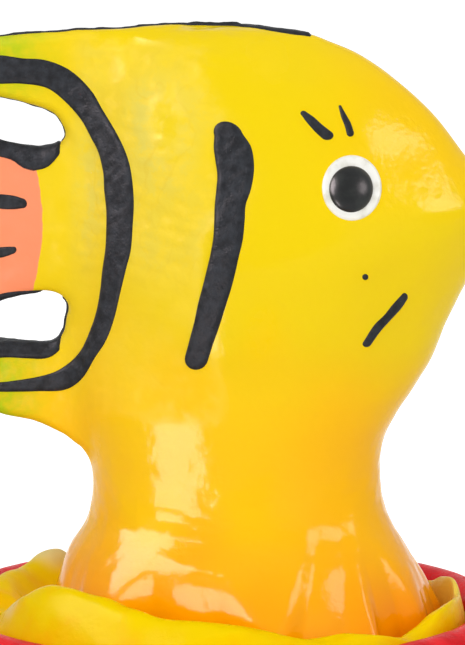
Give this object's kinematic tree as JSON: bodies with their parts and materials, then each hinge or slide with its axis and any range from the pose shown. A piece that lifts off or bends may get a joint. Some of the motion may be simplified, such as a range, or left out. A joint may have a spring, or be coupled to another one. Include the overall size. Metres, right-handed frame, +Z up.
{
  "type": "rubber fish cap",
  "caption": "Hollow rubber fish on a flared neck over a thin folded crown in a thick rolled rim; worn as a clown's cap or stood up as a prop.",
  "frame": {"origin": "on the surface the rim rests on, under the middle of the part's box", "axes": "+Z up through the neck, +X towards the snout, +Y towards the fish's left side"},
  "size_m": [0.247, 0.212, 0.2253],
  "materials": {
    "fish_skin": "glossy dipped latex, lemon yellow, greener at the fins, warmer below",
    "neck_skin": "glossy dipped latex, amber to orange, fine orange-peel texture",
    "crown_skin": "thin, slightly see-through latex sheet, yellow with paler worn edges",
    "rim_red": "smooth red rubber, satin to glossy",
    "rim_sponge": "open sponge cord, matt",
    "tail_skin": "coral orange paint on latex, satin",
    "black_paint": "thick hand-laid charcoal rubber paint, slightly raised, satin",
    "eye_white": "smooth off-white disc",
    "pupil_black": "glossy black dome"
  },
  "bodies": {
    "rim": {"rim_roll": "rim_red", "rim_core": "rim_sponge", "crown_sheet": "crown_skin"},
    "foot": {"neck_foot": "neck_skin", "neck_waist": "neck_skin"},
    "fish": {"brow_front_left": "black_paint", "brow_front_right": "black_paint", "brow_rear_left": "black_paint", "brow_rear_right": "black_paint", "cheek_stripe_left": "black_paint", "cheek_stripe_right": "black_paint", "eye_white_left": "eye_white", "eye_white_right": "eye_white", "fish_shell": "fish_skin", "lobe_edge_left": "black_paint", "lobe_edge_right": "black_paint", "mouth_line_left": "black_paint", "mouth_line_right": "black_paint", "nostril_dot_left": "black_paint", "nostril_dot_right": "black_paint", "pupil_left": "pupil_black", "pupil_right": "pupil_black", "rear_band_left": "black_paint", "rear_band_right": "black_paint", "ridge_line": "black_paint"},
    "tail": {"tail_edge_lower_left": "black_paint", "tail_edge_lower_right": "black_paint", "tail_edge_upper_left": "black_paint", "tail_edge_upper_right": "black_paint", "tail_fin": "tail_skin", "tail_ray_1_left": "black_paint", "tail_ray_1_right": "black_paint", "tail_ray_2_left": "black_paint", "tail_ray_2_right": "black_paint", "tail_root": "fish_skin"}
  },
  "joints": [
    {"name": "crown_rise", "type": "slide", "parent": "rim", "child": "foot", "axis": [0, 0, 1], "range_m": [0, 0.06], "deforming": ["crown_sheet"]},
    {"name": "neck_sway", "type": "hinge", "parent": "foot", "child": "fish", "pos_m": [0.0233, 0, 0.05], "axis": [1, 0, 0], "range_deg": [-14, 14], "stiffness_Nm_per_rad": 3, "deforming": ["neck_waist"]},
    {"name": "tail_flick", "type": "hinge", "parent": "fish", "child": "tail", "pos_m": [-0.047, 0, 0.154], "axis": [0, 0, 1], "range_deg": [-30, 30], "stiffness_Nm_per_rad": 0.4, "deforming": ["tail_root"]}
  ]
}
